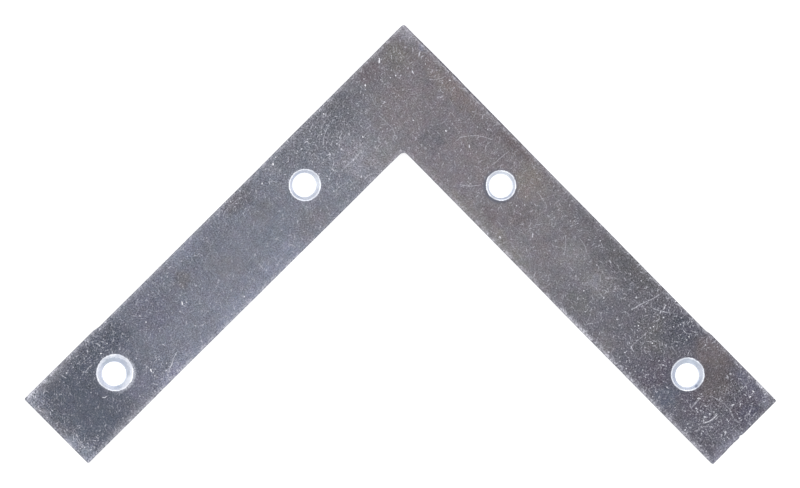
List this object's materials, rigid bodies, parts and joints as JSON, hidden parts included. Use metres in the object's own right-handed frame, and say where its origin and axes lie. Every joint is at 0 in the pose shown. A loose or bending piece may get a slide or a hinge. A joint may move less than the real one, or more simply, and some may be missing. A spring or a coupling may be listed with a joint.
{
  "type": "corner brace bracket",
  "caption": "Flat L-shaped steel corner brace with countersunk screw holes along both legs, screwed across the joint of a frame, box or drawer to hold it square.",
  "frame": {"origin": "where the centre lines of the two legs cross, on the flat back face", "axes": "+X and +Y run along the two legs, +Z is out of the front face, where the countersinks open"},
  "size_m": [0.1003, 0.1003, 0.002],
  "materials": {
    "zinc_plated_steel": "satin, scuffed zinc plating"
  },
  "bodies": {
    "root": {"brace_plate": "zinc_plated_steel"}
  },
  "joints": []
}
